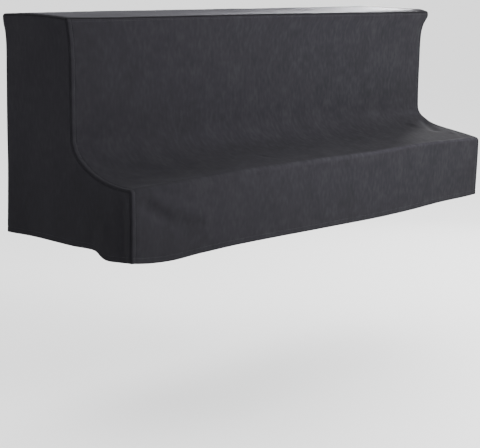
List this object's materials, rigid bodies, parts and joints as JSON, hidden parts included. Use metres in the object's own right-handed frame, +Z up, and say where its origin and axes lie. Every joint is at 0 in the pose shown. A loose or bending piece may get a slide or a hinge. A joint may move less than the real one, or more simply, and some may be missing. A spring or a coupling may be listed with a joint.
{
  "type": "piano cover",
  "caption": "Fitted velvet half cover for an upright piano: a hollow drape over the lid, front, keyboard and sides that ends in an open hem below the keys.",
  "frame": {"origin": "middle of the top panel's underside, where the piano's lid carries the cover", "axes": "+X along the keyboard towards the treble end, -Y towards the player, +Z up"},
  "size_m": [1.5552, 0.6011, 0.6625],
  "materials": {
    "velvet": "charcoal short-pile velvet, matt with a soft sheen at grazing angles"
  },
  "bodies": {
    "root": {"front_panel": "velvet", "back_panel": "velvet", "top_panel": "velvet", "bass_side_panel": "velvet", "treble_side_panel": "velvet"}
  },
  "joints": []
}
